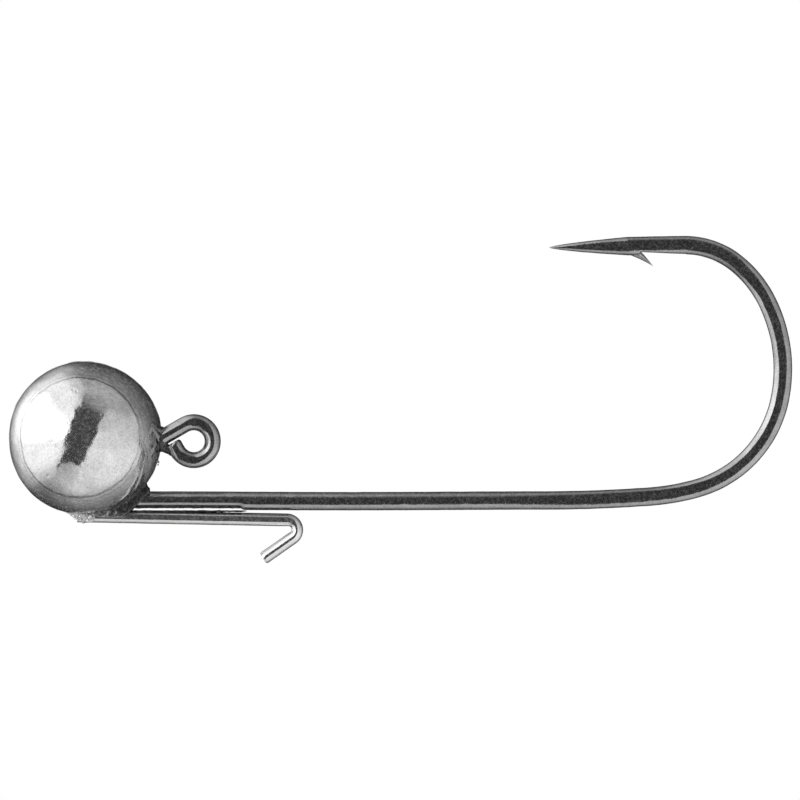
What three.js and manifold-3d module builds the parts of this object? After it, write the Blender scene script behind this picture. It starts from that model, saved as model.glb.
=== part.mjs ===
// Jig head for fishing: a cast lead ball on a one-piece hook, with a wire bait keeper.
// Millimetres, +Z up. The wires are bent in the plane y = 0, which is also the casting's parting plane.
// The origin is the centre of the line eye, +X runs along the shank towards the bend.

import * as THREE from 'three';
import { mergeVertices } from 'three/addons/utils/BufferGeometryUtils.js';
import Module from 'manifold-3d';

const wasm = await Module();
wasm.setup();

// Head casting
const BALL_RADIUS = 5.37;
const BALL_X = -7.62;
const BALL_Z = 0.24;
const BALL_SEGMENTS_ROUND = 48;
const BALL_SEGMENTS_ACROSS = 28;
const WEB_THICKNESS = 1.9;
const WEB_END_X = -3;
const WEB_TOP_X = -3.3;
const WEB_TOP_Z = -2.75;
const WEB_FRONT_X = -8;
const CAST_GAP = 0.05;

// Hook: the wire is drawn thinner towards the eye
const WIRE_RADIUS = 0.645;
const EYE_WIRE_RADIUS = 0.565;
const EYE_RADIUS = 1.327;
const EYE_TAIL_LENGTH = 0.65;
const EYE_TURN = 270;
const LEG_ANGLE = THREE.MathUtils.degToRad(30);
const BURIED_BEND_RADIUS = 1.4;
const SHANK_DROP = 4.15;
const SHANK_END_X = 24.33;
const BEND = [
  { turn: 4.2, radius: 104.4 },
  { turn: 11.7, radius: 16.35 },
  { turn: 62.5, radius: 8.16 },
  { turn: 38.5, radius: 10.63 },
  { turn: 25.7, radius: 7.84 },
  { turn: 38.4, radius: 5.72 },
];

// Point and barb
const SPEAR_LENGTH = 9.4;
const SPEAR_BASE_RADIUS = 0.635;
const SPEAR_TENON = 0.4;
const TAPER_RADIUS = 0.6;
const TAPER_LENGTH = 5.5;
const TAPER_POWER = 0.6;
const TAPER_RINGS = 9;
const BARB_FROM_TIP = 7.25;
const BARB_DEPTH = 1.44;
const BARB_LENGTH = 1.9;
const BARB_ANGLE = THREE.MathUtils.degToRad(38);
const BARB_HALF_ANGLE = THREE.MathUtils.degToRad(11.5);
const BARB_WIDENING = 1.15;
const BARB_SIDES = 12;
const NOTCH_FROM_TIP = 6.35;
const NOTCH_LENGTH = 3;
const NOTCH_DEPTH = 0.27;

// Bait keeper
const KEEPER_RADIUS = 0.45;
const KEEPER_START_X = -8.15;
const KEEPER_START_Z = -5.227;
const KEEPER_SLOPE = 1.1;
const KEEPER_LENGTH = 14.52;
const KEEPER_BEND_RADIUS = 0.765;
const KEEPER_TURN = 143.9;
const KEEPER_RETURN_LENGTH = 2.3;

// Fineness of the wires
const WIRE_SIDES = 16;
const MAX_STEP_DEGREES = 9;
const MAX_STEP_LENGTH = 2.5;
const MERGE_TOLERANCE = 1e-5;

// How far a solid runs on past the place where it joins or cuts another
const OVERLAP = 1;

// Headings in degrees: 0 is +X and 90 is +Z
const FULL_TURN = 360;
const LEG_HEADING = 180 + THREE.MathUtils.radToDeg(LEG_ANGLE);

// Lengths that the driving dimensions settle
const BURIED_TANGENT = BURIED_BEND_RADIUS / Math.tan(LEG_ANGLE / 2);
const EYE_TANGENT_X = -EYE_RADIUS * Math.sin(LEG_ANGLE);
const EYE_TANGENT_Z = EYE_RADIUS * Math.cos(LEG_ANGLE);
const LEG_TO_SHANK_LINE = (EYE_TANGENT_Z + SHANK_DROP) / Math.sin(LEG_ANGLE);
const LEG_LENGTH = LEG_TO_SHANK_LINE - BURIED_TANGENT;
const SHANK_START_X = EYE_TANGENT_X - LEG_TO_SHANK_LINE * Math.cos(LEG_ANGLE) + BURIED_TANGENT;

// A wire's centreline in the plane y = 0, walked as straights and round bends.
// Its stations lie only at the ends of the straights and evenly along each bend.
class WirePath extends THREE.Curve {
  constructor(x, z, headingDegrees) {
    super();
    this.place = new THREE.Vector3(x, 0, z);
    this.heading = THREE.MathUtils.degToRad(headingDegrees);
    this.stations = [];
    this.addStation();
  }

  addStation() {
    const tangent = new THREE.Vector3(Math.cos(this.heading), 0, Math.sin(this.heading));
    this.stations.push({ point: this.place.clone(), tangent });
  }

  straight(length) {
    this.place.addScaledVector(this.stations.at(-1).tangent, length);
    this.addStation();
    return this;
  }

  // A positive turn goes anticlockwise, seen with +X to the right and +Z up.
  bend(turnDegrees, radius) {
    const turn = THREE.MathUtils.degToRad(turnDegrees);
    const length = Math.abs(turn) * radius;
    const steps = Math.ceil(Math.max(Math.abs(turnDegrees) / MAX_STEP_DEGREES, length / MAX_STEP_LENGTH));
    const side = Math.sign(turn);
    const centreX = this.place.x - side * radius * Math.sin(this.heading);
    const centreZ = this.place.z + side * radius * Math.cos(this.heading);
    for (let step = 0; step < steps; step += 1) {
      this.heading += turn / steps;
      this.place.x = centreX + side * radius * Math.sin(this.heading);
      this.place.z = centreZ - side * radius * Math.cos(this.heading);
      this.addStation();
    }
    return this;
  }

  stationAt(u) {
    return this.stations[Math.round(u * (this.stations.length - 1))];
  }

  getPointAt(u, target = new THREE.Vector3()) {
    return target.copy(this.stationAt(u).point);
  }

  getTangentAt(u, target = new THREE.Vector3()) {
    return target.copy(this.stationAt(u).tangent);
  }
}

function sweepWire(path, radius) {
  const section = new THREE.Shape();
  section.absarc(0, 0, radius, 0, 2 * Math.PI);
  return new THREE.ExtrudeGeometry(section, {
    steps: path.stations.length - 1,
    curveSegments: WIRE_SIDES / 2,
    extrudePath: path,
  });
}

// Turns an outline drawn as (x, z) into a plate centred on the plane y = 0.
function plate(points, thickness) {
  const outline = new THREE.Shape(points.map(([x, z]) => new THREE.Vector2(x, z)));
  const geometry = new THREE.ExtrudeGeometry(outline, { depth: thickness, bevelEnabled: false });
  geometry.rotateX(Math.PI / 2);
  geometry.translate(0, thickness / 2, 0);
  return geometry;
}

function toSolid(geometry) {
  const bare = geometry.clone();
  bare.deleteAttribute('normal');
  bare.deleteAttribute('uv');
  const merged = mergeVertices(bare, MERGE_TOLERANCE);
  return new wasm.Manifold(new wasm.Mesh({
    numProp: 3,
    vertProperties: new Float32Array(merged.attributes.position.array),
    triVerts: new Uint32Array(merged.index.array),
  }));
}

function toGeometry(solid) {
  const mesh = solid.getMesh();
  const geometry = new THREE.BufferGeometry();
  geometry.setAttribute('position', new THREE.BufferAttribute(new Float32Array(mesh.vertProperties), 3));
  geometry.setIndex(new THREE.BufferAttribute(new Uint32Array(mesh.triVerts), 1));
  geometry.computeVertexNormals();
  return geometry;
}

// From the cut end, round the eye and down the leg, through the buried bend into the shank.
function eyePath() {
  const tailHeading = LEG_HEADING - EYE_TURN;
  const tail = new THREE.Vector3(-Math.cos(LEG_ANGLE), 0, -Math.sin(LEG_ANGLE)).multiplyScalar(EYE_RADIUS);
  tail.x -= EYE_TAIL_LENGTH * Math.cos(THREE.MathUtils.degToRad(tailHeading));
  tail.z -= EYE_TAIL_LENGTH * Math.sin(THREE.MathUtils.degToRad(tailHeading));
  return new WirePath(tail.x, tail.z, tailHeading)
    .straight(EYE_TAIL_LENGTH)
    .bend(EYE_TURN, EYE_RADIUS)
    .straight(LEG_LENGTH)
    .bend(FULL_TURN - LEG_HEADING, BURIED_BEND_RADIUS)
    .straight(OVERLAP);
}

function shankPath() {
  const path = new WirePath(SHANK_START_X, -SHANK_DROP, 0);
  path.straight(SHANK_END_X - SHANK_START_X);
  for (const { turn, radius } of BEND) {
    path.bend(turn, radius);
  }
  return path;
}

// The point's round taper, turned on the +Y axis with its tip at the origin.
// Behind its base a narrower tenon runs on into the bent wire.
function spearGeometry() {
  const profile = [];
  for (let ring = 0; ring <= TAPER_RINGS; ring += 1) {
    const fraction = (ring / TAPER_RINGS) ** 2;
    profile.push(new THREE.Vector2(TAPER_RADIUS * fraction ** TAPER_POWER, TAPER_LENGTH * fraction));
  }
  profile.push(new THREE.Vector2(SPEAR_BASE_RADIUS, SPEAR_LENGTH));
  profile.push(new THREE.Vector2(TAPER_RADIUS, SPEAR_LENGTH + SPEAR_TENON));
  profile.push(new THREE.Vector2(0, SPEAR_LENGTH + SPEAR_TENON));
  return new THREE.LatheGeometry(profile, WIRE_SIDES);
}

// A flattened cone whose apex is the barb's tip, leaning back from the point.
function barbGeometry() {
  const geometry = new THREE.ConeGeometry(BARB_LENGTH * Math.tan(BARB_HALF_ANGLE), BARB_LENGTH, BARB_SIDES);
  geometry.translate(0, -BARB_LENGTH / 2, 0);
  geometry.scale(1, 1, BARB_WIDENING);
  geometry.rotateZ(BARB_ANGLE);
  geometry.translate(-BARB_DEPTH, BARB_FROM_TIP, 0);
  return geometry;
}

// The chisel cut that raised the barb: deepest at the barb's root and running out towards the bend.
function notchGeometry() {
  const flat = -WIRE_RADIUS + NOTCH_DEPTH;
  const below = -2 * WIRE_RADIUS;
  const outline = new THREE.Shape([
    new THREE.Vector2(flat, NOTCH_FROM_TIP),
    new THREE.Vector2(-WIRE_RADIUS, NOTCH_FROM_TIP + NOTCH_LENGTH),
    new THREE.Vector2(below, NOTCH_FROM_TIP + NOTCH_LENGTH),
    new THREE.Vector2(below, NOTCH_FROM_TIP),
  ]);
  const width = 4 * WIRE_RADIUS;
  const geometry = new THREE.ExtrudeGeometry(outline, { depth: width, bevelEnabled: false });
  geometry.translate(0, 0, -width / 2);
  return geometry;
}

// Lays a geometry that was made along +Y, with the tip at the origin, on the end of the bend.
function onSpear(geometry, bendEnd) {
  const along = bendEnd.tangent;
  const across = new THREE.Vector3(0, 1, 0);
  const up = new THREE.Vector3(along.z, 0, -along.x);
  const tip = bendEnd.point.clone().addScaledVector(along, SPEAR_LENGTH);
  const place = new THREE.Matrix4().makeBasis(up, along.clone().negate(), across);
  place.setPosition(tip);
  return geometry.clone().applyMatrix4(place);
}

function hookGeometry() {
  const shank = shankPath();
  const bendEnd = shank.stations.at(-1);
  const wire = toSolid(sweepWire(shank, WIRE_RADIUS)).add(toSolid(sweepWire(eyePath(), EYE_WIRE_RADIUS)));
  const spear = toSolid(onSpear(spearGeometry(), bendEnd));
  const notch = toSolid(onSpear(notchGeometry(), bendEnd));
  const barb = toSolid(onSpear(barbGeometry(), bendEnd));
  return toGeometry(wire.add(spear).subtract(notch).add(barb));
}

function keeperPath(startX) {
  const slope = Math.tan(THREE.MathUtils.degToRad(KEEPER_SLOPE));
  const startZ = KEEPER_START_Z - (startX - KEEPER_START_X) * slope;
  return new WirePath(startX, startZ, -KEEPER_SLOPE);
}

function keeperGeometry() {
  const path = keeperPath(KEEPER_START_X)
    .straight(KEEPER_LENGTH)
    .bend(-KEEPER_TURN, KEEPER_BEND_RADIUS)
    .straight(KEEPER_RETURN_LENGTH);
  return sweepWire(path, KEEPER_RADIUS);
}

// The fin of lead that ties the ball to the shank and backs the keeper.
function webGeometry() {
  const keeperZ = KEEPER_START_Z;
  return plate([
    [BALL_X, WEB_TOP_Z],
    [WEB_FRONT_X, keeperZ + KEEPER_RADIUS / 2],
    [WEB_FRONT_X, keeperZ],
    [WEB_END_X, keeperZ],
    [WEB_END_X, WIRE_RADIUS - SHANK_DROP],
    [WEB_TOP_X, WEB_TOP_Z],
  ].reverse(), WEB_THICKNESS);
}

// The passages that the wires fill in the lead, each open at both ends.
function passageSolids() {
  const leg = new WirePath(EYE_TANGENT_X, EYE_TANGENT_Z, LEG_HEADING)
    .straight(LEG_LENGTH)
    .bend(FULL_TURN - LEG_HEADING, BURIED_BEND_RADIUS)
    .straight(OVERLAP);
  const shankStartX = SHANK_START_X - CAST_GAP;
  const shank = new WirePath(shankStartX, -SHANK_DROP, 0).straight(WEB_END_X + OVERLAP - shankStartX);
  const keeper = keeperPath(KEEPER_START_X - OVERLAP).straight(KEEPER_LENGTH);
  return [
    toSolid(sweepWire(leg, EYE_WIRE_RADIUS + CAST_GAP)),
    toSolid(sweepWire(shank, WIRE_RADIUS + CAST_GAP)),
    toSolid(sweepWire(keeper, KEEPER_RADIUS + CAST_GAP)),
  ];
}

// The sphere's poles lie on the Y axis, so its widest ring is the parting line.
function headGeometry() {
  const ball = new THREE.SphereGeometry(BALL_RADIUS, BALL_SEGMENTS_ROUND, BALL_SEGMENTS_ACROSS);
  ball.translate(BALL_X, 0, BALL_Z);
  let casting = toSolid(ball).add(toSolid(webGeometry()));
  for (const passage of passageSolids()) {
    casting = casting.subtract(passage);
  }
  return toGeometry(casting);
}

function leadMaterial() {
  return new THREE.MeshStandardMaterial({ color: 0xb4b6b8, roughness: 0.28, metalness: 1 });
}

function blackNickelMaterial() {
  return new THREE.MeshStandardMaterial({ color: 0x3a3c3f, roughness: 0.22, metalness: 1 });
}

function stainlessMaterial() {
  return new THREE.MeshStandardMaterial({ color: 0xc9cbcc, roughness: 0.2, metalness: 1 });
}

function namedMesh(name, geometry, material) {
  const mesh = new THREE.Mesh(geometry, material);
  mesh.name = name;
  return mesh;
}

const group = new THREE.Group();
group.name = 'jig_head';
group.add(namedMesh('lead_head', headGeometry(), leadMaterial()));
group.add(namedMesh('hook', hookGeometry(), blackNickelMaterial()));
group.add(namedMesh('bait_keeper', keeperGeometry(), stainlessMaterial()));

export default group;
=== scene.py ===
import math

import bmesh
import bpy
import numpy as np
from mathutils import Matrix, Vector


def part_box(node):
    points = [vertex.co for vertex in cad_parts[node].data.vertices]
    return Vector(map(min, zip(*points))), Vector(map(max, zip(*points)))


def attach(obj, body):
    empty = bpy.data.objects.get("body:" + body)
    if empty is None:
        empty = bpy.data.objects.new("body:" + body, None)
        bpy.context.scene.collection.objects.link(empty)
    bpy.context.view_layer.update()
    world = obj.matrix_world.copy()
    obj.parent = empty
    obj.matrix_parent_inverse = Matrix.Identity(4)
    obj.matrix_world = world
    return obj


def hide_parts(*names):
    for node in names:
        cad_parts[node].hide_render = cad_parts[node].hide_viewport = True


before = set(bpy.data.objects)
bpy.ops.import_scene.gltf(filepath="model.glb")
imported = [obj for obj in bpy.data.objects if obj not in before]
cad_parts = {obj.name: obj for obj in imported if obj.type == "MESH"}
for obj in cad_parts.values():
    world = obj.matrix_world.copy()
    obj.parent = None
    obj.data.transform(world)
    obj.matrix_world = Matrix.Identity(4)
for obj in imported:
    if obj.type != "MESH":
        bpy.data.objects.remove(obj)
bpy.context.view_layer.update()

# Shapes are worked out in millimetres and degrees, and turned into metres when a mesh is made.
MM = 0.001

# Driving dimensions of the wires, the same as the CAD's.
WIRE_RADIUS = 0.645
EYE_WIRE_RADIUS = 0.565
EYE_RADIUS = 1.327
EYE_TAIL_LENGTH = 0.65
EYE_TURN = 270
LEG_ANGLE = 30
BURIED_BEND_RADIUS = 1.4
SHANK_DROP = 4.15
SHANK_END_X = 24.33
BEND = [(4.2, 104.4), (11.7, 16.35), (62.5, 8.16), (38.5, 10.63), (25.7, 7.84), (38.4, 5.72)]
SPEAR_LENGTH = 9.4
TAPER_LENGTH = 5.5
BARB_FROM_TIP = 7.25
BARB_DEPTH = 1.44
BARB_LENGTH = 1.9
BARB_ANGLE = 38
BARB_HALF_ANGLE = 11.5
NOTCH_FROM_TIP = 6.35
KEEPER_RADIUS = 0.45
KEEPER_START_X = -8.15
KEEPER_START_Z = -5.227
KEEPER_SLOPE = 1.1
KEEPER_TURN = 143.9

# Dimensions that follow the photograph more closely than the CAD's do, by 0.3 mm at most.
SPEAR_RADIUS = 0.65
TAPER_POWER = 0.66
TIP_RADIUS = 0.02
BARB_WIDENING = 0.95
BARB_BOW = 0.05
NOTCH_LENGTH = 3.3
NOTCH_DEPTH = 0.23
NOTCH_ROUNDING = 0.12
KEEPER_LENGTH = 14.67
KEEPER_BEND_RADIUS = 0.70
KEEPER_RETURN_LENGTH = 2.50

# The ball, from the casting's box: its left, top and side extremes are the ball's own.
head_low, head_high = (np.array(corner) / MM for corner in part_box("lead_head"))
BALL_RADIUS = (head_high[1] - head_low[1]) / 2
BALL = np.array([head_low[0] + BALL_RADIUS, 0.0, head_high[2] - BALL_RADIUS])


# ---------------------------------------------------------------- meshes

def mesh_object(name, vertices, faces, material, smooth_angle):
    """One object from millimetre vertices, with outward normals and smooth shading up to an angle."""
    mesh = bpy.data.meshes.new(name)
    mesh.from_pydata((np.asarray(vertices) * MM).tolist(), [], faces)
    work = bmesh.new()
    work.from_mesh(mesh)
    bmesh.ops.recalc_face_normals(work, faces=work.faces)
    for face in work.faces:
        face.smooth = True
    limit = math.radians(smooth_angle)
    for edge in work.edges:
        if len(edge.link_faces) == 2 and edge.calc_face_angle(0) > limit:
            edge.smooth = False
    work.to_mesh(mesh)
    work.free()
    mesh.materials.append(material)
    piece = bpy.data.objects.new(name, mesh)
    bpy.context.scene.collection.objects.link(piece)
    return piece


def join(*meshes):
    vertices, faces = [], []
    for part_vertices, part_faces in meshes:
        start = sum(len(v) for v in vertices)
        vertices.append(np.asarray(part_vertices))
        faces.extend([tuple(i + start for i in face) for face in part_faces])
    return np.vstack(vertices), faces


def capped_faces(rings, columns):
    """Quads between closed rings of vertices, and triangles from the first and the last ring to one vertex
    each. Those two vertices come after the rings'."""
    faces = []
    for ring in range(rings - 1):
        low = ring * columns
        for column in range(columns):
            after = (column + 1) % columns
            faces.append((low + column, low + after, low + columns + after, low + columns + column))
    last_ring = (rings - 1) * columns
    first_tip, last_tip = rings * columns, rings * columns + 1
    for column in range(columns):
        after = (column + 1) % columns
        faces.append((column, first_tip, after))
        faces.append((last_ring + column, last_ring + after, last_tip))
    return faces


def unit(vectors):
    return vectors / np.linalg.norm(vectors, axis=-1, keepdims=True)


def smooth_step(value, low, high):
    t = np.clip((value - low) / (high - low), 0, 1)
    return t * t * (3 - 2 * t)


def smooth_min(a, b, reach):
    h = np.clip(0.5 + 0.5 * (b - a) / reach, 0, 1)
    return b + (a - b) * h - reach * h * (1 - h)


class Waves:
    """A smooth random height of about unit size: plane waves in seeded random directions."""

    def __init__(self, seed, wavelength, count=40):
        rng = np.random.default_rng(seed)
        direction = unit(rng.normal(size=(count, 3)))
        length = wavelength * rng.uniform(0.7, 1.4, count)
        self.numbers = direction * (2 * math.pi / length)[:, None]
        self.phase = rng.uniform(0, 2 * math.pi, count)
        self.scale = math.sqrt(2 / count)

    def __call__(self, points):
        return np.cos(points @ self.numbers.T + self.phase).sum(-1) * self.scale


def ripples(points, waves):
    """The sum of several Waves, each given by its height, seed and wavelength."""
    return sum(height * Waves(seed, wavelength)(points) for height, seed, wavelength in waves)


# ---------------------------------------------------------------- tubes

class WirePath:
    """A centreline in the plane y = 0, walked as straights and round bends."""

    def __init__(self, x, z, heading, step):
        self.place = np.array([x, z])
        self.heading = math.radians(heading)
        self.step = step
        self.points = [self.place.copy()]
        self.headings = [self.heading]

    def add(self):
        self.points.append(self.place.copy())
        self.headings.append(self.heading)

    def straight(self, length):
        steps = max(1, math.ceil(length / self.step))
        along = np.array([math.cos(self.heading), math.sin(self.heading)])
        for _ in range(steps):
            self.place = self.place + along * (length / steps)
            self.add()
        return self

    def bend(self, turn_degrees, radius):
        turn = math.radians(turn_degrees)
        steps = max(4, math.ceil(abs(turn) * radius / self.step))
        side = math.copysign(1, turn)
        out = np.array([math.sin(self.heading), -math.cos(self.heading)])
        centre = self.place - side * radius * out
        for _ in range(steps):
            self.heading += turn / steps
            out = np.array([math.sin(self.heading), -math.cos(self.heading)])
            self.place = centre + side * radius * out
            self.add()
        return self

    def arrays(self):
        """Points, headings and the length walked to each point."""
        points = np.array(self.points)
        headings = np.array(self.headings)
        length = np.r_[0, np.cumsum(np.linalg.norm(np.diff(points, axis=0), axis=1))]
        return points, headings, length


def ring_offsets(half_width, half_depth, exponent, sides):
    """How far the points of each ring lie from the centreline, in the plane y = 0 and along Y.
    An exponent of 2 is an ellipse, and a higher one squares the section."""
    angle = np.arange(sides) * 2 * math.pi / sides
    power = (2 / exponent)[:, None]
    cosine = np.sign(np.cos(angle)) * np.abs(np.cos(angle)) ** power
    sine = np.sign(np.sin(angle)) * np.abs(np.sin(angle)) ** power
    return half_width[:, None] * cosine, half_depth[:, None] * sine


def tube_mesh(points, headings, across, depth):
    """Vertices and faces of a closed tube from the offsets of its rings."""
    rings, sides = across.shape
    left = np.stack([-np.sin(headings), np.cos(headings)], 1)
    x = points[:, None, 0] + across * left[:, None, 0]
    z = points[:, None, 1] + across * left[:, None, 1]
    body = np.stack([x, depth, z], -1).reshape(-1, 3)
    ends = np.array([[points[i, 0], 0, points[i, 1]] for i in (0, -1)])
    return np.vstack([body, ends]), capped_faces(rings, sides)


def tube_outward(headings, across, depth):
    """For each ring point of a tube, the unit vector away from the centreline, and the distance to it."""
    left = np.stack([-np.sin(headings), np.zeros_like(headings), np.cos(headings)], 1)
    offset = (across[..., None] * left[:, None, :]).reshape(-1, 3)
    offset[:, 1] += depth.reshape(-1)
    distance = np.linalg.norm(offset, axis=1)
    return offset / np.maximum(distance, 1e-6)[:, None], distance


def rounded_end(radius, from_end, reach, share):
    """The radius, less a share of it at a cut end, whose edge is rounded over a short reach."""
    return radius * (1 - share * (1 - np.clip(from_end / reach, 0, 1)) ** 2)


# ---------------------------------------------------------------- hook

HOOK_SIDES = 48
HOOK_STEP = 0.14
SPEAR_STEP = 0.08
LEG_THICKENING = 1.5        # the leg thickens to the shank's wire over this length, inside the lead
FORGING = (-4.0, 5.0)       # the forging starts and is full this far past the shank's end
ROUND_POINT = (0.5, 4.0)    # the forging fades out between these distances from the tip
FORGED_THINNING = 0.15
FORGED_SQUARING = 0.7
BEND_SQUARING = 0.3
BEND_SQUARING_START = (8, 14)   # the bend's own squaring fades in and out this far past the shank's end
BEND_SQUARING_END = (24, 30)
EYE_SQUARING = 0.25
FLAT_END_X = 3.55           # the shank's underside is pressed flat from the casting to here
FLAT_DEPTH = 0.16
FLAT_RUNOUT = 0.4
SAG_START_X = -3.0
SHANK_SAG = 0.05
EYE_END_ROUNDING = (0.09, 0.18)     # reach, and share of the radius
HOOK_RIPPLES = [(0.0022, 11, 1.1), (0.0007, 12, 0.28)]  # height, seed and wavelength
RIPPLE_RADIUS = (0.05, 0.4)     # the ripples fade out between these radii, towards the tip
BARB_SIDES = 24
BARB_RINGS = 26
BARB_TIP_RADIUS = 0.012
BARB_EDGE_POWER = 0.9


def hook_path():
    """From the eye's cut end, round the eye, down the leg, along the shank and round the bend.
    Also counts the points up to the shank's start and up to its end."""
    leg = math.radians(LEG_ANGLE)
    tail_heading = 180 + LEG_ANGLE - EYE_TURN
    tail = math.radians(tail_heading)
    x = -EYE_RADIUS * math.cos(leg) - EYE_TAIL_LENGTH * math.cos(tail)
    z = -EYE_RADIUS * math.sin(leg) - EYE_TAIL_LENGTH * math.sin(tail)
    line = (EYE_RADIUS * math.cos(leg) + SHANK_DROP) / math.sin(leg)
    tangent = BURIED_BEND_RADIUS / math.tan(leg / 2)
    shank_start = -EYE_RADIUS * math.sin(leg) - line * math.cos(leg) + tangent
    path = WirePath(x, z, tail_heading, HOOK_STEP)
    path.straight(EYE_TAIL_LENGTH).bend(EYE_TURN, EYE_RADIUS).straight(line - tangent)
    path.bend(180 - LEG_ANGLE, BURIED_BEND_RADIUS)
    eye_count = len(path.points)
    path.straight(SHANK_END_X - shank_start)
    shank_count = len(path.points)
    for turn, radius in BEND:
        path.bend(turn, radius)
    path.step = SPEAR_STEP
    path.straight(SPEAR_LENGTH)
    return path, eye_count, shank_count


def spike(tip, root, half_width, half_depth, bow):
    """A closed spike from tip to root with a slightly bowed line."""
    axis = root - tip
    reach = np.linalg.norm(axis)
    axis = axis / reach
    side = np.array([axis[2], 0, -axis[0]])
    vertices = []
    for ring in range(BARB_RINGS + 1):
        share = ring / BARB_RINGS
        centre = tip + axis * reach * share + side * bow * math.sin(math.pi * share)
        width = max(half_width * share, BARB_TIP_RADIUS)
        depth = max(half_depth * share ** BARB_EDGE_POWER, BARB_TIP_RADIUS)
        for k in range(BARB_SIDES):
            angle = 2 * math.pi * k / BARB_SIDES
            offset = side * width * math.cos(angle)
            offset[1] = depth * math.sin(angle)
            vertices.append(centre + offset)
    return np.array(vertices + [tip, root]), capped_faces(BARB_RINGS + 1, BARB_SIDES)


def barb_mesh(path):
    """The barb on the inner side of the spear, where the path ends."""
    heading = path.headings[-1]
    along = np.array([math.cos(heading), 0, math.sin(heading)])
    inward = np.array([-math.sin(heading), 0, math.cos(heading)])
    spear_tip = np.array([path.points[-1][0], 0, path.points[-1][1]])
    tip = spear_tip - along * BARB_FROM_TIP + inward * BARB_DEPTH
    slant = math.radians(BARB_ANGLE)
    root = tip + (along * math.cos(slant) - inward * math.sin(slant)) * BARB_LENGTH
    half_width = BARB_LENGTH * math.tan(math.radians(BARB_HALF_ANGLE))
    return spike(tip, root, half_width, half_width * BARB_WIDENING, BARB_BOW)


def hook_mesh():
    path, eye_count, shank_count = hook_path()
    points, headings, length = path.arrays()
    from_tip = length[-1] - length
    thickened = smooth_step(length, length[eye_count - 1] - LEG_THICKENING, length[eye_count - 1])
    radius = EYE_WIRE_RADIUS + (WIRE_RADIUS - EYE_WIRE_RADIUS) * thickened
    taper = SPEAR_RADIUS * np.clip(from_tip / TAPER_LENGTH, 0, 1) ** TAPER_POWER
    radius = np.where(from_tip < SPEAR_LENGTH, taper, radius)
    radius = np.maximum(radius, TIP_RADIUS)
    radius = rounded_end(radius, length, *EYE_END_ROUNDING)
    # The bend and the spear are forged thinner and squarer, and the bend and the eye squarer still.
    past_shank = length - length[shank_count - 1]
    forged = smooth_step(past_shank, *FORGING) * smooth_step(from_tip, *ROUND_POINT)
    bent = smooth_step(past_shank, *BEND_SQUARING_START) * (1 - smooth_step(past_shank, *BEND_SQUARING_END))
    exponent = 2 + FORGED_SQUARING * forged + BEND_SQUARING * bent + EYE_SQUARING * (1 - thickened)
    across, depth = ring_offsets(radius, radius * (1 - FORGED_THINNING * forged), exponent, HOOK_SIDES)
    # The chisel cut that raised the barb lies on the inner side of the spear.
    cut = from_tip - NOTCH_FROM_TIP
    notch = NOTCH_DEPTH * np.clip(1 - cut / NOTCH_LENGTH, 0, 1) * (cut > 0)
    cut_to = np.where(notch > 0, radius - notch, radius + NOTCH_ROUNDING)
    across = smooth_min(across, cut_to[:, None], NOTCH_ROUNDING)
    # The shank's underside is pressed flat next to the keeper.
    index = np.arange(len(points))
    flat = smooth_step(-points[:, 0], -FLAT_END_X, -FLAT_END_X + FLAT_RUNOUT)
    flat *= (index >= eye_count) & (index < shank_count)
    across = np.where(across < 0, across * (1 - FLAT_DEPTH / WIRE_RADIUS * flat)[:, None], across)
    vertices, faces = tube_mesh(points, headings, across, depth)
    # The plated surface is very slightly uneven, but not at the fine tip.
    skin = vertices[:-2]
    outward, distance = tube_outward(headings, across, depth)
    height = ripples(skin, HOOK_RIPPLES) * smooth_step(distance, *RIPPLE_RADIUS)
    vertices[:-2] += outward * height[:, None]
    # The long shank sags a little in the middle.
    sag = np.clip((vertices[:, 0] - SAG_START_X) / (SHANK_END_X - SAG_START_X), 0, 1)
    on_shank = vertices[:, 2] < -SHANK_DROP + 2 * WIRE_RADIUS
    vertices[:, 2] -= SHANK_SAG * np.sin(math.pi * sag) ** 2 * on_shank
    return join((vertices, faces), barb_mesh(path))


# ---------------------------------------------------------------- keeper

KEEPER_SIDES = 40
KEEPER_STEP = 0.14
KEEPER_BEND_STEP = 0.06
KEEPER_RETURN_STEP = 0.12
KEEPER_END_ROUNDING = (0.08, 0.14)
KEEPER_RIPPLES = [(0.002, 21, 1.6)]
KEEPER_PINCH = 0.22         # the tight bend presses its inner side flat by this share, over this reach
KEEPER_PINCH_REACH = 0.6


def keeper_line(x):
    """The height of the keeper's centreline at x."""
    return KEEPER_START_Z - (x - KEEPER_START_X) * math.tan(math.radians(KEEPER_SLOPE))


def keeper_mesh():
    path = WirePath(KEEPER_START_X, KEEPER_START_Z, -KEEPER_SLOPE, KEEPER_STEP)
    path.straight(KEEPER_LENGTH)
    path.step = KEEPER_BEND_STEP
    path.bend(-KEEPER_TURN, KEEPER_BEND_RADIUS)
    path.step = KEEPER_RETURN_STEP
    path.straight(KEEPER_RETURN_LENGTH)
    points, headings, length = path.arrays()
    radius = rounded_end(KEEPER_RADIUS, length[-1] - length, *KEEPER_END_ROUNDING)
    across, depth = ring_offsets(radius, radius, np.full(len(points), 2.0), KEEPER_SIDES)
    middle = KEEPER_LENGTH + KEEPER_BEND_RADIUS * math.radians(KEEPER_TURN) / 2
    squeeze = 1 - KEEPER_PINCH * np.exp(-((length - middle) / KEEPER_PINCH_REACH) ** 2)
    across = np.where(across < 0, across * squeeze[:, None], across)
    vertices, faces = tube_mesh(points, headings, across, depth)
    vertices[:, 2] += ripples(vertices, KEEPER_RIPPLES)
    return vertices, faces


# ---------------------------------------------------------------- ball

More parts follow.
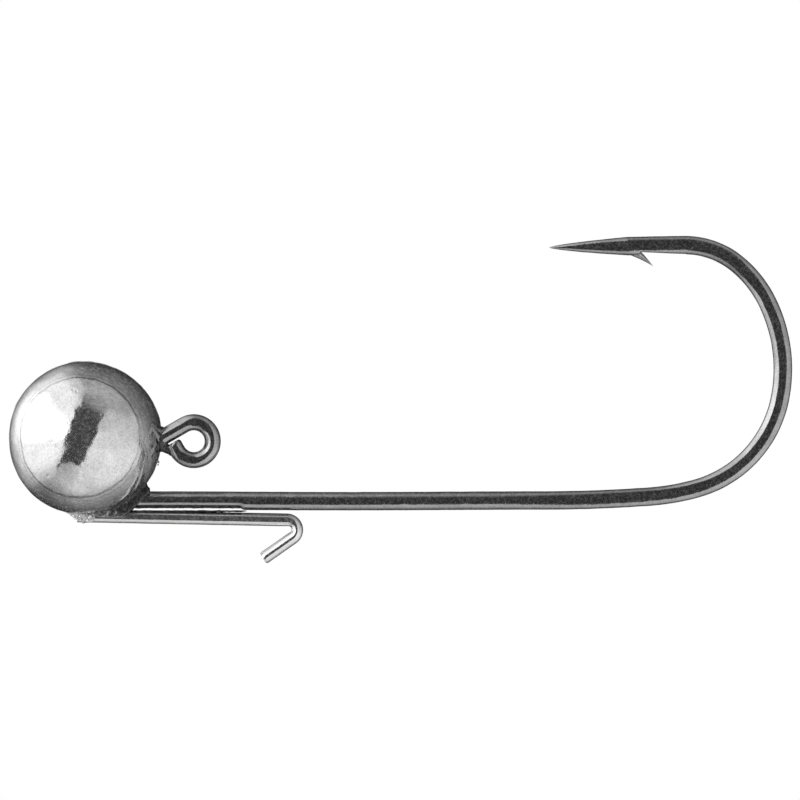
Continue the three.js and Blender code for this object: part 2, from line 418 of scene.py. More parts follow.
BALL_COLUMNS = 600
BALL_ROWS = 360
BALL_SKIN_DEPTH = 0.02      # the plain sphere lies this far inside the CAD's, to leave room for the marks
FINE_ROWS = 2.2             # rows are 1 + this times as dense near these polar angles, within a reach
FINE_BANDS = ((51, 4.5), (129, 4.5), (90, 2))
ROW_SAMPLES = 20001
BALL_RIPPLES = [(0.0045, 31, 1.1), (0.012, 32, 4.0)]

# The cap inside each of the mould's two rings stands proud: how high, and half the width of its edge,
# by the angle round the ball.
RING_HALF_ANGLE = 50.4
RING_TILT = 1.6
RING_RISE = 0.012
RING_ANGLES = [-180, -150, -120, -90, -60, -30, 0, 22, 40, 60, 95, 120, 150, 180]
RING_DEPTHS = [
    0.065, 0.070, 0.090, 0.085, 0.050, 0.022, 0.004, 0.050, 0.095, 0.085, 0.070, 0.055, 0.060, 0.065,
]
RING_WIDTHS = [0.20, 0.21, 0.24, 0.23, 0.17, 0.12, 0.12, 0.14, 0.16, 0.15, 0.15, 0.18, 0.20, 0.20]
RING_FADE = 1.5             # how far inside the ring the cap blends back into the sphere
RING_STEP = 0.010           # a second, very low step just outside the ring
RING_STEP_REACH = (0.34, 0.5)
RING_WANDER = [(0.03, 35, 2.5), (0.016, 36, 0.7), (0.014, 37, 0.3)]

# Folds beside the web, along small circles on the ball: axis on the near side and half angle, the angles
# round the ball where the fold fades in and out, its height, and the reach in which it falls off again.
FOLDS = [
    ((-0.652, -0.743, -0.151), 95.5, (-80, -68), (-26, -10), 0.020, (0.08, 0.4)),
    ((-0.082, -0.821, -0.565), 62.7, (-48, -34), (-8, 2), -0.016, (0.1, 0.5)),
]
FOLD_EDGE = 0.05
# Dents in the near cap: x and z in ball radii, size and depth.
DENTS = [
    (-0.10, 0.63, 0.10, 0.020), (-0.06, 0.60, 0.07, 0.016), (0.10, 0.60, 0.07, 0.012),
    (-0.42, -0.47, 0.10, 0.016), (-0.22, -0.60, 0.07, 0.010), (0.55, 0.10, 0.08, 0.008),
]
DENT_WANDER = [(0.03, 38, 0.2)]
# The ball isn't quite round: the angle and reach of each swelling or hollow, and its height.
SWELLINGS = [(20, 22, 0.05), (62, 20, -0.02), (186, 22, -0.05), (232, 24, 0.05)]
SEAM_HEIGHT = 0.012
SEAM_WIDTH = 0.07
SEAM_RIPPLES = [(0.6, 33, 0.9)]
PITS = 150
PIT_SIZES = (0.05, 0.14)
PIT_DEPTHS = (0.004, 0.014)


def ball_rows():
    """Polar angles of the ball's rows, closer together at the two rings and at the parting line."""
    angle = np.linspace(0, math.pi, ROW_SAMPLES)
    degrees = np.degrees(angle)
    fine = np.zeros_like(angle)
    for middle, reach in FINE_BANDS:
        fine[np.abs(degrees - middle) < reach] = 1
    density = 1 + FINE_ROWS * fine
    share = np.cumsum(density) / density.sum()
    return np.interp(np.arange(1, BALL_ROWS) / BALL_ROWS, share, angle)


def ball_mesh():
    """The ball, its poles on the Y axis, with the marks the mould left on it."""
    azimuth = np.arange(BALL_COLUMNS) * 2 * math.pi / BALL_COLUMNS
    grid_polar, grid_azimuth = np.meshgrid(ball_rows(), azimuth, indexing="ij")
    normals = np.stack([
        np.sin(grid_polar) * np.cos(grid_azimuth),
        -np.cos(grid_polar),
        np.sin(grid_polar) * np.sin(grid_azimuth),
    ], -1).reshape(-1, 3)
    normals = np.vstack([normals, [[0, -1, 0], [0, 1, 0]]])
    vertices = BALL + normals * (BALL_RADIUS - BALL_SKIN_DEPTH + ball_height(normals))[:, None]
    return vertices, capped_faces(BALL_ROWS - 1, BALL_COLUMNS)


def from_circle(normals, axis, half_angle):
    """Arc length outwards from a small circle on the ball."""
    angle = np.arccos(np.clip(normals @ unit(axis), -1, 1))
    return (angle - math.radians(half_angle)) * BALL_RADIUS


def ball_height(normals):
    points = normals * BALL_RADIUS
    around = np.degrees(np.arctan2(normals[:, 2], normals[:, 0]))
    height = ripples(points, BALL_RIPPLES) + swelling_height(normals, around)
    wander = ripples(points, RING_WANDER)
    for side in (-1, 1):
        height += ring_height(normals, around, wander, side)
        height += fold_height(normals, around, side)
    height -= dent_depth(points)
    # The parting line runs round the ball in the plane y = 0.
    seam = SEAM_HEIGHT * (1 + ripples(points, SEAM_RIPPLES))
    height += seam * np.exp(-(points[:, 1] / SEAM_WIDTH) ** 2)
    return height - pit_depth(points)


def swelling_height(normals, around):
    height = np.zeros(len(normals))
    flatness = np.hypot(normals[:, 0], normals[:, 2])
    for angle, reach, lift in SWELLINGS:
        apart = (around - angle + 180) % 360 - 180
        height += lift * flatness ** 2 * np.exp(-(apart / reach) ** 2)
    return height


def ring_height(normals, around, wander, side):
    """The raised cap on one side of the ball, with an edge that wanders a little."""
    tilt = math.radians(RING_TILT)
    axis = np.array([-math.sin(tilt), side * math.cos(tilt), RING_RISE])
    away = from_circle(normals, axis, RING_HALF_ANGLE) + wander
    depth = np.interp(around, RING_ANGLES, RING_DEPTHS)
    width = np.interp(around, RING_ANGLES, RING_WIDTHS)
    cap = depth * (1 - smooth_step(away / width, -1, 1)) * np.exp(np.minimum(away, 0) / RING_FADE)
    return cap + RING_STEP * (1 - smooth_step(away, *RING_STEP_REACH))


def fold_height(normals, around, side):
    """The folds beside the web on one side of the ball."""
    height = np.zeros(len(normals))
    on_side = normals[:, 1] * side > 0
    for axis, half_angle, start, end, rise, fall in FOLDS:
        away = from_circle(normals, np.array(axis) * [1, -side, 1], half_angle)
        share = on_side * smooth_step(around, *start) * (1 - smooth_step(around, *end))
        height += share * rise * (smooth_step(away, -FOLD_EDGE, FOLD_EDGE) - smooth_step(away, *fall))
    return height


def dent_depth(points):
    total = np.zeros(len(points))
    wander = ripples(points, DENT_WANDER)
    for x, z, size, depth in DENTS:
        spot = np.array([x, -math.sqrt(1 - x * x - z * z), z])
        near = np.linalg.norm(points - spot * BALL_RADIUS, axis=1) + wander
        total += depth * np.exp(-(near / size) ** 2)
    return total


def pit_depth(points):
    """Small shallow pits all over the ball."""
    total = np.zeros(len(points))
    rng = np.random.default_rng(34)
    for _ in range(PITS):
        spot = unit(rng.normal(size=3))
        size = rng.uniform(*PIT_SIZES)
        near = np.linalg.norm(points - spot * BALL_RADIUS, axis=1)
        total += rng.uniform(*PIT_DEPTHS) * np.exp(-(near / size) ** 2)
    return total


# ---------------------------------------------------------------- distance fields

def capsule(points, start, end, radius):
    """Distance to a round bar between two points of the plane y = 0."""
    a = np.array([start[0], 0, start[1]])
    b = np.array([end[0], 0, end[1]])
    t = np.clip((points - a) @ (b - a) / ((b - a) @ (b - a)), 0, 1)
    return np.linalg.norm(points - a - t[:, None] * (b - a), axis=1) - radius


def convex(points, outline):
    """Distance to a convex outline in the plane y = 0, given anticlockwise."""
    distance = np.full(len(points), -1e9)
    for (x0, z0), (x1, z1) in zip(outline, outline[1:] + outline[:1]):
        size = math.hypot(x1 - x0, z1 - z0)
        outward = ((z1 - z0) / size, (x0 - x1) / size)
        edge = (points[:, 0] - x0) * outward[0] + (points[:, 2] - z0) * outward[1]
        distance = np.maximum(distance, edge)
    return distance


def settle(vertices, field, cell, rounds=3, least_slope=0.2):
    """Moves vertices that are near the surface field = 0 onto it."""
    nudge = cell * 0.2
    for _ in range(rounds):
        value = field(vertices)
        slope = np.stack([field(vertices + nudge * axis) - value for axis in np.eye(3)], 1) / nudge
        move = value[:, None] * slope / np.maximum((slope ** 2).sum(1, keepdims=True), least_slope)
        vertices = vertices - np.clip(move, -cell / 2, cell / 2)
    return vertices


def surface_net(field, low, high, cell):
    """A closed quad mesh on field = 0, with one vertex in each grid cell that the surface crosses."""
    low, high = np.array(low, float), np.array(high, float)
    counts = np.ceil((high - low) / cell).astype(int) + 1
    axes = [low[i] + cell * np.arange(counts[i]) for i in range(3)]
    grid = np.stack(np.meshgrid(*axes, indexing="ij"), -1)
    value = field(grid.reshape(-1, 3)).reshape(counts)
    cells = counts - 1
    total = np.zeros((*cells, 3))
    crossings = np.zeros(cells)
    edges = []
    for axis in range(3):
        first = [slice(None)] * 3
        second = [slice(None)] * 3
        first[axis], second[axis] = slice(0, -1), slice(1, None)
        v0, v1 = value[tuple(first)], value[tuple(second)]
        crossed = (v0 < 0) != (v1 < 0)
        t = np.where(crossed, v0 / np.where(crossed, v0 - v1, 1), 0)
        spot = grid[tuple(first)].copy()
        spot[..., axis] += t * cell
        spot *= crossed[..., None]
        b, c = [i for i in range(3) if i != axis]
        for i in (0, 1):
            for j in (0, 1):
                part = [slice(None)] * 3
                part[b] = slice(i, i + cells[b])
                part[c] = slice(j, j + cells[c])
                total += spot[tuple(part)]
                crossings += crossed[tuple(part)]
        edges.append((crossed, v0 < 0))
    number = np.full(cells, -1)
    used = crossings > 0
    number[used] = np.arange(used.sum())
    vertices = total[used] / crossings[used][:, None]
    faces = []
    for axis, (crossed, rising) in enumerate(edges):
        b, c = (axis + 1) % 3, (axis + 2) % 3
        place = np.argwhere(crossed)
        inside = (place[:, [b, c]] > 0).all(1) & (place[:, [b, c]] < cells[[b, c]]).all(1)
        place = place[inside]
        up = rising[tuple(place.T)]
        corners = []
        for db, dc in ((-1, -1), (0, -1), (0, 0), (-1, 0)):
            at = place.copy()
            at[:, b] += db
            at[:, c] += dc
            corners.append(number[tuple(at.T)])
        quads = np.stack(corners, 1)
        quads[~up] = quads[~up][:, ::-1]
        faces.extend(map(tuple, quads.tolist()))
    return settle(vertices, field, cell), faces


# ---------------------------------------------------------------- web, collar, flash

WEB_OUTLINE = [
    (-6.9, -5.3), (-5.0, -5.35), (-4.35, -4.85), (-3.05, -3.62), (-3.12, -3.3), (-3.4, -2.95), (-7.6, -0.5),
]
WEB_HALF_THICKNESS = 0.72
WEB_EDGE_RADIUS = 0.12
WIRE_COAT = 0.03            # how thickly the lead covers a wire
SHANK_COAT_X = (-8.0, -4.9)
KEEPER_COAT_X = (-7.5, -5.0)
KEEPER_BARE_DEPTH = 0.06    # the keeper is bare from this far below its centreline
WIRE_FILLET = 0.25
WEB_FILLET = 0.3
WEB_RIPPLES = [(0.018, 41, 0.62), (0.008, 42, 0.24)]
WEB_GRID = ((-9.3, -1.75, -6.3), (-2.3, 1.75, -1.6), 0.055)     # lowest corner, highest corner, cell
LUMP_OVERLAP = 0.1          # a lump of lead starts this far under the ball's skin,
LUMP_HOLLOW = 0.5           # is hollow from here down,
LUMP_REACH = 0.6            # and its fillet ends this far from its core

LEG_COAT = ((-3.4, -0.43), (-2.35, 0.17))
LEG_CAP = ((-2.6, 0.75), (-1.95, 0.82))
LEG_CAP_RADIUS = 0.17
LEG_COAT_THICKNESS = 0.02
LEG_CAP_FILLET = 0.2
TAIL_COAT = ((-2.6, -0.05), (-1.15, -0.78))
TAIL_COAT_RADIUS = 0.44
TAIL_FILLET = 0.12
COLLAR_FILLET = 0.35
COLLAR_RIPPLES = [(0.016, 41, 0.62), (0.01, 42, 0.24)]
COLLAR_GRID = ((-3.6, -1.3, -1.6), (-0.9, 1.3, 1.8), 0.045)
SLIT_START = (-1.78, -0.36)     # the open slit between the leg and the tail, in the leg's direction
SLIT_GAP = 0.04
SLIT_END_X = -1.82

FLASH_OUTLINE = [(-8.85, -4.98), (-7.85, -5.70), (-6.9, -5.62), (-6.9, -5.10), (-8.0, -4.85)]
FLASH_HALF_THICKNESS = 0.50
FLASH_RIPPLES = [(0.028, 43, 0.32), (0.014, 44, 0.14)]
FLASH_GRID = ((-9.1, -0.6, -6.0), (-6.0, 0.6, -4.6), 0.04)
CRUMBS = 7
CRUMB_SIZE = 0.05
CRUMB_CENTRE = (-2.5, 0, -1.55)
CRUMB_SPREAD = (0.07, 0.05, 0.14)
CRUMB_WOBBLE = 0.25
STRIP_START_X = -4.9
STRIP_LENGTH = 8.6
STRIP_SIDES = 20
STRIP_RUNOUT = 0.35
STRIP_EXPONENT = 2.8
STRIP_TIP_HEIGHT = 0.02
STRIP_TIP_SHARE = 0.3
STRIP_STEP = 0.07


def on_ball(points, lump, fillet, core):
    """Blends a lump of lead into the ball's skin and hollows it out where nobody can see."""
    radius = np.linalg.norm(points - BALL, axis=1)
    blended = smooth_min(lump, radius - (BALL_RADIUS - LUMP_OVERLAP), fillet)
    blended = np.maximum(blended, BALL_RADIUS - LUMP_HOLLOW - radius)
    return np.maximum(blended, core - LUMP_REACH)


def web_field(points):
    """The fin of lead between the ball and the wires, with its fillets."""
    flat = convex(points, WEB_OUTLINE) + WEB_EDGE_RADIUS
    side = np.abs(points[:, 1]) - WEB_HALF_THICKNESS + WEB_EDGE_RADIUS
    outside = np.hypot(np.maximum(flat, 0), np.maximum(side, 0))
    plate = outside + np.minimum(np.maximum(flat, side), 0) - WEB_EDGE_RADIUS
    start, end = ((x, -SHANK_DROP) for x in SHANK_COAT_X)
    shank = capsule(points, start, end, WIRE_RADIUS + WIRE_COAT)
    start, end = ((x, keeper_line(x)) for x in KEEPER_COAT_X)
    keeper = capsule(points, start, end, KEEPER_RADIUS + WIRE_COAT)
    keeper = np.maximum(keeper, keeper_line(points[:, 0]) - KEEPER_BARE_DEPTH - points[:, 2])
    web = smooth_min(plate, shank, WIRE_FILLET)
    web = smooth_min(web, keeper, WIRE_FILLET)
    web = on_ball(points, web, WEB_FILLET, np.minimum(plate, np.minimum(shank, keeper)))
    return web + ripples(points, WEB_RIPPLES)


def collar_field(points):
    """The lead that creeps up the leg and the eye's tail."""
    leg = capsule(points, *LEG_COAT, EYE_WIRE_RADIUS + LEG_COAT_THICKNESS)
    cap = capsule(points, *LEG_CAP, LEG_CAP_RADIUS)
    tail = capsule(points, *TAIL_COAT, TAIL_COAT_RADIUS)
    slope = math.radians(LEG_ANGLE)
    over_x, over_z = points[:, 0] - SLIT_START[0], points[:, 2] - SLIT_START[1]
    above_slit = over_z * math.cos(slope) - over_x * math.sin(slope)
    tail = np.maximum(tail, np.where(points[:, 0] > SLIT_END_X, above_slit + SLIT_GAP, -1))
    collar = smooth_min(smooth_min(leg, cap, LEG_CAP_FILLET), tail, TAIL_FILLET)
    return on_ball(points, collar, COLLAR_FILLET, collar) + ripples(points, COLLAR_RIPPLES)


def flash_field(points):
    """The thin fin of flash where the mould leaked at the keeper's front end."""
    fin = np.maximum(convex(points, FLASH_OUTLINE), np.abs(points[:, 1]) - FLASH_HALF_THICKNESS)
    return fin + ripples(points, FLASH_RIPPLES)


def strip_mesh(z, half_height, half_depth, seed):
    """A thin level run of ragged lead next to a wire, from the web to where the mould's gap ended."""
    path = WirePath(STRIP_START_X, z, 0, STRIP_STEP)
    path.straight(STRIP_LENGTH)
    points, headings, length = path.arrays()
    full = smooth_step(length[-1] - length, 0, STRIP_RUNOUT)
    tall = STRIP_TIP_HEIGHT + (half_height - STRIP_TIP_HEIGHT) * full
    wide = half_depth * (STRIP_TIP_SHARE + (1 - STRIP_TIP_SHARE) * full)
    across, depth = ring_offsets(tall, wide, np.full(len(points), STRIP_EXPONENT), STRIP_SIDES)
    vertices, faces = tube_mesh(points, headings, across, depth)
    shift = np.zeros_like(vertices)
    shift[:, 2] = ripples(vertices, [(0.008, seed, 0.5), (0.006, seed + 1, 0.2)])
    shift[:, 1] = ripples(vertices, [(0.03, seed + 2, 0.6)])
    return vertices + shift, faces


def crumb_mesh():
    """Small lumps of flash below the eye's tail."""
    rng = np.random.default_rng(61)
    meshes = []
    for _ in range(CRUMBS):
        place = np.array(CRUMB_CENTRE) + rng.normal(size=3) * CRUMB_SPREAD
        lump = bmesh.new()
        bmesh.ops.create_icosphere(lump, subdivisions=2, radius=1)
        corners = np.array([v.co for v in lump.verts])
        faces = [tuple(v.index for v in f.verts) for f in lump.faces]
        lump.free()
        stretch = rng.uniform(0.5, 1.5, 3) * CRUMB_SIZE
        wobble = 1 + ripples(corners, [(CRUMB_WOBBLE, int(rng.integers(1000)), 1.2)])
        meshes.append((corners * wobble[:, None] * stretch + place, faces))
    return join(*meshes)


# ---------------------------------------------------------------- node trees

class Value:
    """A socket of a node tree that Python's arithmetic extends with Math nodes."""

    def __init__(self, tree, socket):
        self.tree = tree
        self.socket = socket

    def op(self, operation, *others, clamp=False):
        node = self.tree.nodes.new("ShaderNodeMath")
        node.operation = operation
        node.use_clamp = clamp
        for i, value in enumerate((self, *others)):
            if isinstance(value, Value):
                self.tree.links.new(value.socket, node.inputs[i])
            else:
                node.inputs[i].default_value = value
        return Value(self.tree, node.outputs[0])

    def __add__(self, other):
        return self.op("ADD", other)

    def __sub__(self, other):
        return self.op("SUBTRACT", other)

    def __mul__(self, other):
        return self.op("MULTIPLY", other)

    def step(self, low, high):
        """0 below low and 1 above high, smooth in between; falls instead when low is above high."""
        node = self.tree.nodes.new("ShaderNodeMapRange")
        node.interpolation_type = "SMOOTHSTEP"
        self.tree.links.new(self.socket, node.inputs["Value"])
        node.inputs["From Min"].default_value = min(low, high)
        node.inputs["From Max"].default_value = max(low, high)
        node.inputs["To Min"].default_value = 0.0 if low < high else 1.0
        node.inputs["To Max"].default_value = 1.0 if low < high else 0.0
        return Value(self.tree, node.outputs["Result"])

    def curve(self, stops):
        """A piecewise linear function of this value, through (place, result) pairs."""
        low, high = stops[0][0], stops[-1][0]
        top = max(result for _, result in stops)
        node = self.tree.nodes.new("ShaderNodeFloatCurve")
        scaled = self.op("SUBTRACT", low).op("DIVIDE", high - low, clamp=True)
        curve = node.mapping.curves[0]
        node.mapping.use_clip = False
        node.mapping.extend = "HORIZONTAL"
        while len(curve.points) < len(stops):
            curve.points.new(0.5, 0.5)
        for point, (place, result) in zip(curve.points, stops):
            point.location = ((place - low) / (high - low), result / top)
            point.handle_type = "VECTOR"
        node.mapping.update()
        self.tree.links.new(scaled.socket, node.inputs["Value"])
        return Value(self.tree, node.outputs["Value"]) * top

    def towards(self, other, share):
        """This value where share is 0, the other where it is 1."""
        return self + (self * -1.0 + other) * share


def mix_shaders(tree, share, first, second):
    """The first shader where share is 0, the second where it is 1."""
    mix = tree.nodes.new("ShaderNodeMixShader")
    tree.links.new(share, mix.inputs[0])
    tree.links.new(first.outputs[0], mix.inputs[1])
    tree.links.new(second.outputs[0], mix.inputs[2])
    return mix


def object_axes(tree, place):
    """The x and the z of a place given as a vector socket, in metres."""
    split = tree.nodes.new("ShaderNodeSeparateXYZ")
    tree.links.new(place, split.inputs[0])
    return Value(tree, split.outputs[0]), Value(tree, split.outputs[2])


# ---------------------------------------------------------------- camera

PHOTO_WIDTH = 56.0
SENSOR = 36.0
LENS = 200.0
VIEW_CENTRE = (14.434, 2.884)
camera_distance = PHOTO_WIDTH * LENS / SENSOR
camera_data = bpy.data.cameras.new("camera")
camera_data.lens = LENS
camera_data.sensor_width = SENSOR
camera_data.clip_start = 0.01
camera = bpy.data.objects.new("camera", camera_data)
bpy.context.scene.collection.objects.link(camera)
camera.location = Vector((VIEW_CENTRE[0], -camera_distance, VIEW_CENTRE[1])) * MM
camera.rotation_euler = (math.pi / 2, 0, 0)
bpy.context.scene.camera = camera
bpy.context.scene.view_settings.view_transform = "Standard"

# ---------------------------------------------------------------- light

# The studio is laid out as a mirror ball facing the camera would show it: u right, w up, the rim at 1,
# and the direction straight behind the object on the rim. The soft boxes are turned by 20 degrees, so
# across and along are u and w in their own frame.
BOX_TURN_COSINE = 0.94
BOX_TURN_SINE = 0.342
LEFT_BOX_EDGE = (-0.205, -0.22)
RIGHT_BOX_EDGE = (0.105, 0.125)
GAP_LEVEL = 0.070
TOP_LEVEL = 0.62
TOP_EDGE = (0.26, 0.60)
TOP_SLANT = 0.22
BOTTOM_EDGE = [(-0.22, 0.04), (-0.1, 0.2), (0.12, 0.15)]
BOTTOM_DROP = 0.53
BOTTOM_SOFTNESS = 0.008
BOTTOM_LEVEL = [(-0.2, 0.55), (-0.1, 0.6), (0.0, 0.72), (0.12, 0.9)]
# The left box's brightness from its near edge to its far one, and the right box's from low to high.
LEFT_LEVEL = [
    (0.1, 0.6), (0.34, 0.62), (0.42, 0.78), (0.57, 1.1), (0.65, 1.35), (0.77, 1.4), (0.86, 1.4),
    (0.93, 1.95), (1.0, 2.5),
]
RIGHT_LEVEL = [
    (-0.6, 0.95), (-0.4, 1.04), (-0.24, 1.18), (-0.08, 1.24), (0.04, 1.08), (0.16, 0.9), (0.3, 0.8),
    (0.40, 0.74), (0.47, 0.55), (1.0, 0.56),
]
# How the brightness falls towards the rim, on the whole and at the far end of the left box.
FALL = [
    (0.0, 1.0), (0.64, 0.97), (0.72, 0.68), (0.80, 0.47), (0.88, 0.29), (0.96, 0.15), (1.0, 0.03),
]
LEFT_FALL = [
    (0.0, 1.0), (0.74, 1.0), (0.84, 0.92), (0.90, 0.76), (0.94, 0.58), (0.97, 0.40), (1.0, 0.04),
]
LEFT_FALL_START = (0.2, 0.85)
# A small soft box straight behind the object, for the views from behind. In front it is a hairline rim.
BACK_BOX_EDGE = (0.97, 0.992)
BACK_BOX_LEVEL = 0.8


def soft_boxes(x, y, z):
    """The brightness of the studio in a direction: two big soft boxes with a dark gap between them."""
    stretch = ((y * -1.0 + 1.0) * 0.5).op("MAXIMUM", 1e-4).op("SQRT")
    u = x.op("DIVIDE", stretch * 2.0)
    w = z.op("DIVIDE", stretch * 2.0)
    r = ((y + 1.0) * 0.5).op("MAXIMUM", 0.0).op("SQRT")
    across = u * BOX_TURN_COSINE - w * BOX_TURN_SINE
    along = u * BOX_TURN_SINE + w * BOX_TURN_COSINE
    leftward = (across * -1.0).op("DIVIDE", r.op("MAXIMUM", 0.05))
    fall = r.curve(FALL)
    left_fall = fall.towards(r.curve(LEFT_FALL), leftward.step(*LEFT_FALL_START))
    level = r * 0.0 + GAP_LEVEL
    level = level.towards(TOP_LEVEL, (along + across * TOP_SLANT).step(*TOP_EDGE))
    below = (along - (across.curve(BOTTOM_EDGE) - BOTTOM_DROP)).step(BOTTOM_SOFTNESS, -BOTTOM_SOFTNESS)
    level = level.towards(across.curve(BOTTOM_LEVEL), below)
    level = level.towards(along.curve(RIGHT_LEVEL), across.step(*RIGHT_BOX_EDGE))
    level = level * fall
    level = level.towards(left_fall * leftward.curve(LEFT_LEVEL), across.step(*LEFT_BOX_EDGE))
    return level + y.step(*BACK_BOX_EDGE) * BACK_BOX_LEVEL


def studio_world():
    """White behind the object, and the soft boxes in its reflections."""
    world = bpy.data.worlds.new("studio")
    bpy.context.scene.world = world
    world.use_nodes = True
    tree = world.node_tree
    tree.nodes.clear()
    place = tree.nodes.new("ShaderNodeTexCoord")
    turn = tree.nodes.new("ShaderNodeVectorRotate")
    turn.rotation_type = "Z_AXIS"
    turn.inputs["Angle"].default_value = -math.atan2(VIEW_CENTRE[0] - BALL[0], camera_distance)
    tree.links.new(place.outputs["Generated"], turn.inputs["Vector"])
    split = tree.nodes.new("ShaderNodeSeparateXYZ")
    tree.links.new(turn.outputs[0], split.inputs[0])
    level = soft_boxes(*(Value(tree, split.outputs[i]) for i in range(3)))
    shine = tree.nodes.new("ShaderNodeBackground")
    tree.links.new(level.socket, shine.inputs["Strength"])
    white = tree.nodes.new("ShaderNodeBackground")
    white.inputs["Color"].default_value = (1, 1, 1, 1)
    rays = tree.nodes.new("ShaderNodeLightPath")
    mix = mix_shaders(tree, rays.outputs["Is Camera Ray"], shine, white)
    out = tree.nodes.new("ShaderNodeOutputWorld")
    tree.links.new(mix.outputs[0], out.inputs["Surface"])


# The floor and the lamp are given in metres.
STAGE_X = 0.015
FLOOR_DROP = 0.1
FLOOR_RADIUS = 3.0
FLOOR_GREY = 0.86
FLOOR_WHITE_REACH = (0.15, 0.55)    # the floor turns plain white between these distances
LAMP_SIZE = 0.8
LAMP_POWER = 6.0
LAMP_HEIGHT = 0.6


def floor():
    """A pale disc under the object that turns plain white far out."""
    work = bmesh.new()
    bmesh.ops.create_circle(work, cap_ends=True, segments=96, radius=FLOOR_RADIUS)
    mesh = bpy.data.meshes.new("floor")
    work.to_mesh(mesh)
    work.free()
    disc = bpy.data.objects.new("floor", mesh)
    disc.location = (STAGE_X, 0, -FLOOR_DROP)
    bpy.context.scene.collection.objects.link(disc)
    disc.visible_glossy = False
    material = bpy.data.materials.new("pale_floor")
    material.use_nodes = True
    tree = material.node_tree
    tree.nodes.clear()
    place = tree.nodes.new("ShaderNodeTexCoord")
    reach = tree.nodes.new("ShaderNodeVectorMath")
    reach.operation = "LENGTH"
    tree.links.new(place.outputs["Object"], reach.inputs[0])
    far = Value(tree, reach.outputs["Value"]).step(*FLOOR_WHITE_REACH)
    paint = tree.nodes.new("ShaderNodeBsdfDiffuse")
    paint.inputs["Color"].default_value = (FLOOR_GREY, FLOOR_GREY, FLOOR_GREY, 1)
    glow = tree.nodes.new("ShaderNodeEmission")
    mix = mix_shaders(tree, far.socket, paint, glow)
    out = tree.nodes.new("ShaderNodeOutputMaterial")
    tree.links.new(mix.outputs[0], out.inputs["Surface"])
    mesh.materials.append(material)


def fill_light():
    """A wide soft light from above that brightens the floor and the rough lead, but isn't mirrored."""
    lamp = bpy.data.lights.new("fill", "AREA")
    lamp.shape = "DISK"
    lamp.size = LAMP_SIZE
    lamp.energy = LAMP_POWER
    light = bpy.data.objects.new("fill", lamp)
    light.location = (STAGE_X, 0.0, LAMP_HEIGHT)
    light.visible_camera = False
    light.visible_glossy = False
    bpy.context.scene.collection.objects.link(light)


# ---------------------------------------------------------------- materials

# Painted shade on the web's raw lead: its colour is darkened everywhere but at its low front end.
# Where the unshaded front starts and is full along x and z, and how bright the painted shade leaves the
# rest next to it.
UNSHADED_X = (-4.2, -5.6)
UNSHADED_Z = (-4.75, -5.1)
PAINTED_SHADE_SHARE = 0.26


def noise(tree, place, size, detail, seed):
    """Noise with features of a size in millimetres, fixed to the object."""
    node = tree.nodes.new("ShaderNodeTexNoise")
    node.noise_dimensions = "4D"
    node.inputs["W"].default_value = seed
    node.inputs["Scale"].default_value = 1 / (size * MM)
    node.inputs["Detail"].default_value = detail
    tree.links.new(place, node.inputs["Vector"])
    return Value(tree, node.outputs["Fac"])


def metal(name, base, dark, edge, roughness, spread, blotch, grain, bump, pits, haze, painted_web_shade=False):
    """A worn metal: blotches and grain in its colour, dull grains, small pits, and a bump of real depth.
    base and dark are the lightest and darkest grey, edge the share reflected at a grazing angle, and
    spread is how far roughness varies. blotch, grain and bump are in millimetres. pits is how dark the
    pits are, haze the most that scatters like a dull surface, and the flag after haze paints shade on the
    web's lead everywhere but at its low front end."""
    material = bpy.data.materials.new(name)
    material.use_nodes = True
    tree = material.node_tree
    shader = tree.nodes["Principled BSDF"]
    shader.inputs["Specular Tint"].default_value = (edge, edge, edge, 1)
    place = tree.nodes.new("ShaderNodeTexCoord").outputs["Object"]
    broad = noise(tree, place, blotch, 4, 1.0)
    fine = noise(tree, place, grain, 2, 2.0)
    dull = noise(tree, place, grain * 0.9, 2, 3.0).step(0.48, 0.70)
    pit = noise(tree, place, grain * 2.2, 1, 4.0).step(0.68, 0.78)
    coarse = noise(tree, place, grain * 4, 2, 5.0)
    cloud = noise(tree, place, grain * 1.8, 5, 6.0).step(0.36, 0.74)

    shade = broad.step(0.30, 0.70) * 0.45 + fine.step(0.32, 0.66) * 0.55
    shade = shade * (pit * -pits + 1.0)
    # Painted shade: the web's lead is darkened everywhere but at its low front end.
    if painted_web_shade:
        x, z = object_axes(tree, place)
        front = x.step(*(edge * MM for edge in UNSHADED_X))
        low = z.step(*(edge * MM for edge in UNSHADED_Z))
        shade = shade * (front * low * (1.0 - PAINTED_SHADE_SHARE) + PAINTED_SHADE_SHARE)
    colour = tree.nodes.new("ShaderNodeMix")
    colour.data_type = "RGBA"
    tree.links.new(shade.socket, colour.inputs["Factor"])
    colour.inputs[6].default_value = (dark, dark, dark, 1)
    colour.inputs[7].default_value = (base, base, base, 1)
    tree.links.new(colour.outputs[2], shader.inputs["Base Color"])

    level = broad.step(0.7, 0.3) * spread + dull * (spread * 2) + pit * 0.15 + roughness
    tree.links.new(level.socket, shader.inputs["Roughness"])
    metallic = cloud * -haze + 1.0
    tree.links.new(metallic.socket, shader.inputs["Metallic"])

    height = fine * bump + coarse * (bump * 2.4) - pit * bump
    relief = tree.nodes.new("ShaderNodeBump")
    relief.inputs["Strength"].default_value = 1.0
    relief.inputs["Distance"].default_value = MM
    tree.links.new(height.socket, relief.inputs["Height"])
    tree.links.new(relief.outputs["Normal"], shader.inputs["Normal"])
    return material


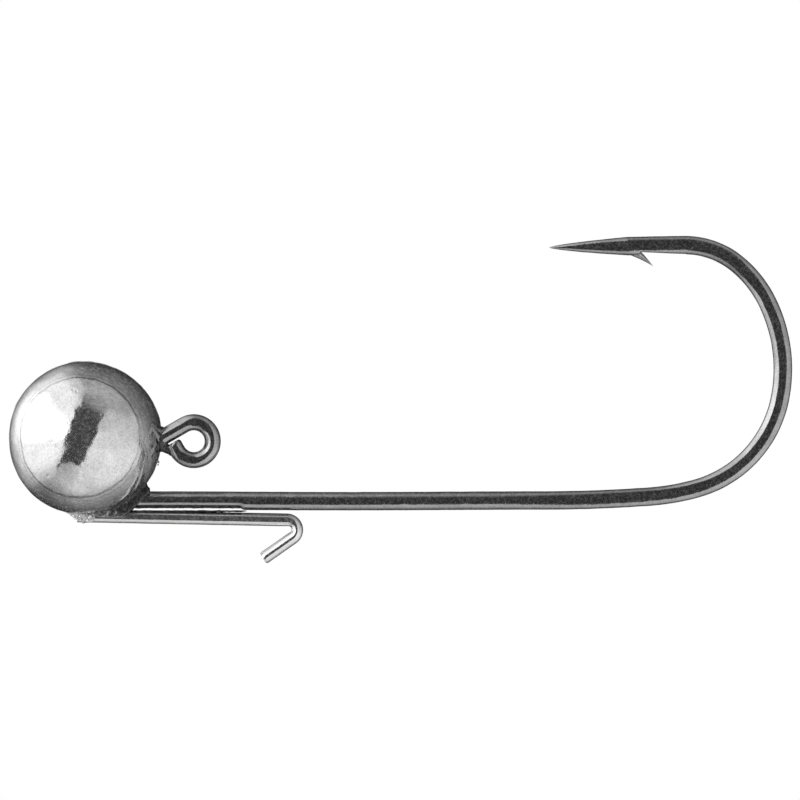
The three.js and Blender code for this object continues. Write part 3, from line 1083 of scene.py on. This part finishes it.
lead = metal(
    "polished_lead", base=0.92, dark=0.60, edge=0.6, roughness=0.06, spread=0.045,
    blotch=1.3, grain=0.12, bump=0.0036, pits=0.9, haze=0.09,
)
# The web's raw lead, with painted shade over all of it but its low front end.
raw_lead_with_painted_shade = metal(
    "raw_lead_with_painted_shade", base=0.50, dark=0.04, edge=0.4, roughness=0.30, spread=0.06,
    blotch=0.5, grain=0.07, bump=0.006, pits=0.6, haze=0.1, painted_web_shade=True,
)
pale_lead = metal(
    "pale_lead", base=0.95, dark=0.45, edge=0.8, roughness=0.30, spread=0.06,
    blotch=0.5, grain=0.08, bump=0.012, pits=0.4, haze=0.5,
)
nickel = metal(
    "black_nickel", base=0.50, dark=0.32, edge=0.15, roughness=0.08, spread=0.04,
    blotch=1.2, grain=0.11, bump=0.0022, pits=0.6, haze=0.10,
)
steel = metal(
    "stainless_wire", base=0.90, dark=0.72, edge=0.02, roughness=0.09, spread=0.03,
    blotch=1.0, grain=0.10, bump=0.0015, pits=0.6, haze=0.10,
)


# ---------------------------------------------------------------- pieces

def place_piece(name, mesh, material, node, smooth_angle):
    vertices, faces = mesh
    piece = mesh_object(name, vertices, faces, material, smooth_angle)
    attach(piece, "root")
    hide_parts(node)


def web_mesh():
    """The web, the collar on the leg and the tail, and the runs of lead along both wires."""
    web = surface_net(web_field, *WEB_GRID)
    collar = surface_net(collar_field, *COLLAR_GRID)
    keeper_top = keeper_line(STRIP_START_X) + KEEPER_RADIUS
    keeper_strip = strip_mesh(keeper_top - 0.06, half_height=0.06, half_depth=0.24, seed=51)
    shank_flat = -SHANK_DROP - WIRE_RADIUS + FLAT_DEPTH
    shank_strip = strip_mesh(shank_flat + 0.04, half_height=0.10, half_depth=0.46, seed=54)
    return join(web, collar, keeper_strip, shank_strip)


def flash_mesh():
    """The fin of flash at the keeper's front end, and the crumbs below the eye's tail."""
    return join(crumb_mesh(), surface_net(flash_field, *FLASH_GRID))


place_piece("hook_wire", hook_mesh(), nickel, "hook", smooth_angle=40)
place_piece("keeper_wire", keeper_mesh(), steel, "bait_keeper", smooth_angle=40)
place_piece("lead_ball", ball_mesh(), lead, "lead_head", smooth_angle=80)
place_piece("lead_web", web_mesh(), raw_lead_with_painted_shade, "lead_head", smooth_angle=60)
place_piece("lead_flash", flash_mesh(), pale_lead, "lead_head", smooth_angle=60)

studio_world()
floor()
fill_light()
